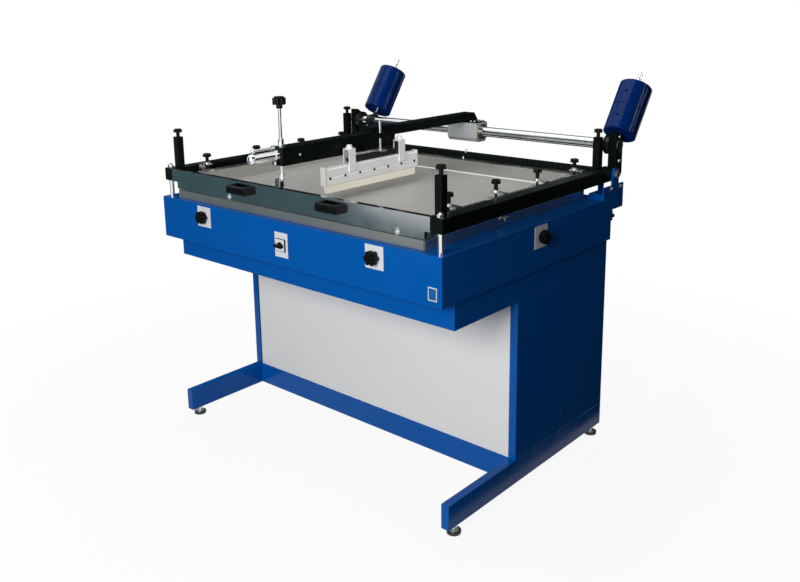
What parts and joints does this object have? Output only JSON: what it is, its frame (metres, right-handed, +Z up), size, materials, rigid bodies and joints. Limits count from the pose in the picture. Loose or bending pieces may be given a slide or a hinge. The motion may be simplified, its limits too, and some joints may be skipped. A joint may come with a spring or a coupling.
{
  "type": "manual screen printing machine",
  "caption": "Flatbed manual screen printing machine with a vacuum bed, a hinged counterweighted screen carrier and a sliding one-arm squeegee.",
  "frame": {"origin": "centre of the bounding box on the floor", "axes": "+X to the machine's right, +Y to the rear, +Z up"},
  "size_m": [1.3444, 1.2954, 1.3162],
  "materials": {
    "blue_paint": "gloss bright blue paint",
    "pale_paint": "satin warm grey-white paint",
    "dark_paint": "semi-gloss green-black paint",
    "steel": "bare steel",
    "zinc_sheet": "galvanised sheet",
    "chrome": "hard chrome",
    "aluminium": "plain aluminium",
    "casting": "fine cast aluminium",
    "black_metal": "black oxide",
    "black_plastic": "black moulded knob",
    "black_pipe": "black moulded pipe",
    "motor_grey": "grey enamel",
    "bronze": "bearing bronze",
    "mesh": "woven polyester mesh",
    "blade": "cream polyurethane"
  },
  "bodies": {
    "stand": {"foot_bars": "blue_paint", "levelling_feet": "steel", "cross_beams": "blue_paint", "side_panels": "blue_paint", "cabinet_panels": "pale_paint", "base_shelf": "zinc_sheet", "blower": "motor_grey", "air_pipes": "black_pipe", "lower_tray": "blue_paint", "casing": "blue_paint", "hinge_blocks": "blue_paint", "hinge_pins": "steel", "control_plates": "aluminium", "bed_guides": "chrome"},
    "bed_cross_slide": {"cross_slide": "aluminium"},
    "bed": {"vacuum_bed": "aluminium"},
    "bed_screw": {"bed_wing_screw": "steel"},
    "front_left_adjuster": {"knob_front_left": "black_plastic"},
    "front_right_adjuster": {"knob_front_right": "black_plastic"},
    "side_adjuster": {"knob_side": "black_plastic"},
    "rear_valve": {"knob_rear": "black_plastic"},
    "vacuum_switch": {"switch_pointer": "black_plastic"},
    "carrier": {"side_rails": "dark_paint", "front_bar": "aluminium", "rear_rail": "dark_paint", "corner_posts": "dark_paint", "stop_legs": "chrome", "grips": "black_plastic", "clamp_brackets": "steel", "frame_clips": "steel", "screen_frame": "aluminium", "screen_mesh": "mesh", "uprights": "dark_paint", "shaft": "chrome", "shaft_collars": "black_metal", "weight_rods": "steel", "weight_discs": "blue_paint"},
    "slider": {"bushes": "bronze"},
    "squeegee_arm": {"carriage": "casting", "arm": "dark_paint", "handle": "chrome"},
    "lever": {"handle_lever": "steel"},
    "roller_rod": {"roller_rod": "chrome"},
    "roller": {"roller": "black_plastic"},
    "rod_knob": {"rod_knob": "black_plastic"},
    "squeegee_lift": {"squeegee_mount": "black_metal"},
    "squeegee": {"squeegee_holder": "aluminium", "squeegee_blade": "blade"},
    "post_knob_fl": {"post_knob_fl": "black_plastic"},
    "post_knob_fr": {"post_knob_fr": "black_plastic"},
    "post_knob_rl": {"post_knob_rl": "black_plastic"},
    "post_knob_rr": {"post_knob_rr": "black_plastic"},
    "clamp_knob_l1": {"clamp_knob_l1": "black_plastic"},
    "clamp_knob_l2": {"clamp_knob_l2": "black_plastic"},
    "clamp_knob_l3": {"clamp_knob_l3": "black_plastic"},
    "clamp_knob_l4": {"clamp_knob_l4": "black_plastic"},
    "clamp_knob_r1": {"clamp_knob_r1": "black_plastic"},
    "clamp_knob_r2": {"clamp_knob_r2": "black_plastic"},
    "clamp_knob_r3": {"clamp_knob_r3": "black_plastic"},
    "clamp_knob_r4": {"clamp_knob_r4": "black_plastic"}
  },
  "joints": [
    {"name": "bed_x_adjust", "type": "slide", "parent": "stand", "child": "bed_cross_slide", "axis": [1, 0, 0], "range_m": [-0.008, 0.008]},
    {"name": "bed_y_adjust", "type": "slide", "parent": "bed_cross_slide", "child": "bed", "axis": [0, 1, 0], "range_m": [-0.008, 0.008]},
    {"name": "bed_screw_turn", "type": "hinge", "parent": "bed", "child": "bed_screw", "pos_m": [0.56175, -0.14173, 0.903], "axis": [1, 0, 0], "continuous": true},
    {"name": "front_left_turn", "type": "hinge", "parent": "stand", "child": "front_left_adjuster", "pos_m": [-0.42225, -0.54573, 0.837], "axis": [0, -1, 0], "range_deg": [-1440, 1440]},
    {"name": "front_right_turn", "type": "hinge", "parent": "stand", "child": "front_right_adjuster", "pos_m": [0.38575, -0.54573, 0.837], "axis": [0, -1, 0], "range_deg": [-1440, 1440]},
    {"name": "side_turn", "type": "hinge", "parent": "stand", "child": "side_adjuster", "pos_m": [0.63575, -0.04873, 0.837], "axis": [1, 0, 0], "range_deg": [-1440, 1440]},
    {"name": "rear_valve_turn", "type": "hinge", "parent": "stand", "child": "rear_valve", "pos_m": [0.61175, 0.40927, 0.812], "axis": [0, 1, 0], "range_deg": [0, 270]},
    {"name": "vacuum_switch_turn", "type": "hinge", "parent": "stand", "child": "vacuum_switch", "pos_m": [-0.02025, -0.54573, 0.804], "axis": [0, -1, 0], "range_deg": [0, 90]},
    {"name": "carrier_lift", "type": "hinge", "parent": "stand", "child": "carrier", "pos_m": [-0.01425, 0.43227, 0.962], "axis": [-1, 0, 0], "range_deg": [0, 55]},
    {"name": "arm_travel", "type": "slide", "parent": "carrier", "child": "slider", "axis": [1, 0, 0], "range_m": [-0.38, 0.5]},
    {"name": "arm_swing", "type": "hinge", "parent": "slider", "child": "squeegee_arm", "pos_m": [-0.03925, 0.46227, 1.06], "axis": [-1, 0, 0], "range_deg": [0, 40]},
    {"name": "lever_turn", "type": "hinge", "parent": "squeegee_arm", "child": "lever", "pos_m": [-0.03925, -0.53973, 1.1165], "axis": [-1, 0, 0], "range_deg": [0, 35]},
    {"name": "roller_rod_adjust", "type": "slide", "parent": "squeegee_arm", "child": "roller_rod", "axis": [0, 0, 1], "range_m": [0, 0.02]},
    {"name": "roller_spin", "type": "hinge", "parent": "roller_rod", "child": "roller", "pos_m": [-0.03925, -0.52473, 0.9942], "axis": [0, 1, 0], "continuous": true},
    {"name": "rod_knob_turn", "type": "hinge", "parent": "roller_rod", "child": "rod_knob", "pos_m": [-0.03925, -0.51373, 1.238], "axis": [0, 0, 1], "continuous": true},
    {"name": "squeegee_lift", "type": "slide", "parent": "squeegee_arm", "child": "squeegee_lift", "axis": [0, 0, 1], "range_m": [-0.024, 0]},
    {"name": "squeegee_tilt", "type": "hinge", "parent": "squeegee_lift", "child": "squeegee", "pos_m": [0.01075, -0.54573, 1.045], "axis": [0, 1, 0], "range_deg": [-8, 20]},
    {"name": "post_knob_fl_turn", "type": "hinge", "parent": "carrier", "child": "post_knob_fl", "pos_m": [-0.62075, -0.49473, 1.096], "axis": [0, 0, 1], "continuous": true},
    {"name": "post_knob_fr_turn", "type": "hinge", "parent": "carrier", "child": "post_knob_fr", "pos_m": [0.59225, -0.49473, 1.096], "axis": [0, 0, 1], "continuous": true},
    {"name": "post_knob_rl_turn", "type": "hinge", "parent": "carrier", "child": "post_knob_rl", "pos_m": [-0.62075, 0.37527, 1.096], "axis": [0, 0, 1], "continuous": true},
    {"name": "post_knob_rr_turn", "type": "hinge", "parent": "carrier", "child": "post_knob_rr", "pos_m": [0.59225, 0.37527, 1.096], "axis": [0, 0, 1], "continuous": true},
    {"name": "clamp_knob_l1_turn", "type": "hinge", "parent": "carrier", "child": "clamp_knob_l1", "pos_m": [-0.57725, -0.40573, 0.997], "axis": [0, 0, 1], "continuous": true},
    {"name": "clamp_knob_l2_turn", "type": "hinge", "parent": "carrier", "child": "clamp_knob_l2", "pos_m": [-0.57725, -0.17173, 0.997], "axis": [0, 0, 1], "continuous": true},
    {"name": "clamp_knob_l3_turn", "type": "hinge", "parent": "carrier", "child": "clamp_knob_l3", "pos_m": [-0.57725, 0.06127, 0.997], "axis": [0, 0, 1], "continuous": true},
    {"name": "clamp_knob_l4_turn", "type": "hinge", "parent": "carrier", "child": "clamp_knob_l4", "pos_m": [-0.57725, 0.29527, 0.997], "axis": [0, 0, 1], "continuous": true},
    {"name": "clamp_knob_r1_turn", "type": "hinge", "parent": "carrier", "child": "clamp_knob_r1", "pos_m": [0.54875, -0.40573, 0.997], "axis": [0, 0, 1], "continuous": true},
    {"name": "clamp_knob_r2_turn", "type": "hinge", "parent": "carrier", "child": "clamp_knob_r2", "pos_m": [0.54875, -0.17173, 0.997], "axis": [0, 0, 1], "continuous": true},
    {"name": "clamp_knob_r3_turn", "type": "hinge", "parent": "carrier", "child": "clamp_knob_r3", "pos_m": [0.54875, 0.06127, 0.997], "axis": [0, 0, 1], "continuous": true},
    {"name": "clamp_knob_r4_turn", "type": "hinge", "parent": "carrier", "child": "clamp_knob_r4", "pos_m": [0.54875, 0.29527, 0.997], "axis": [0, 0, 1], "continuous": true}
  ],
  "couplings": [
    {"joint": "front_left_turn", "follows": "bed_y_adjust", "rad_per_m": -3141.6},
    {"joint": "front_right_turn", "follows": "bed_y_adjust", "rad_per_m": -3141.6},
    {"joint": "side_turn", "follows": "bed_x_adjust", "rad_per_m": 3141.6}
  ]
}
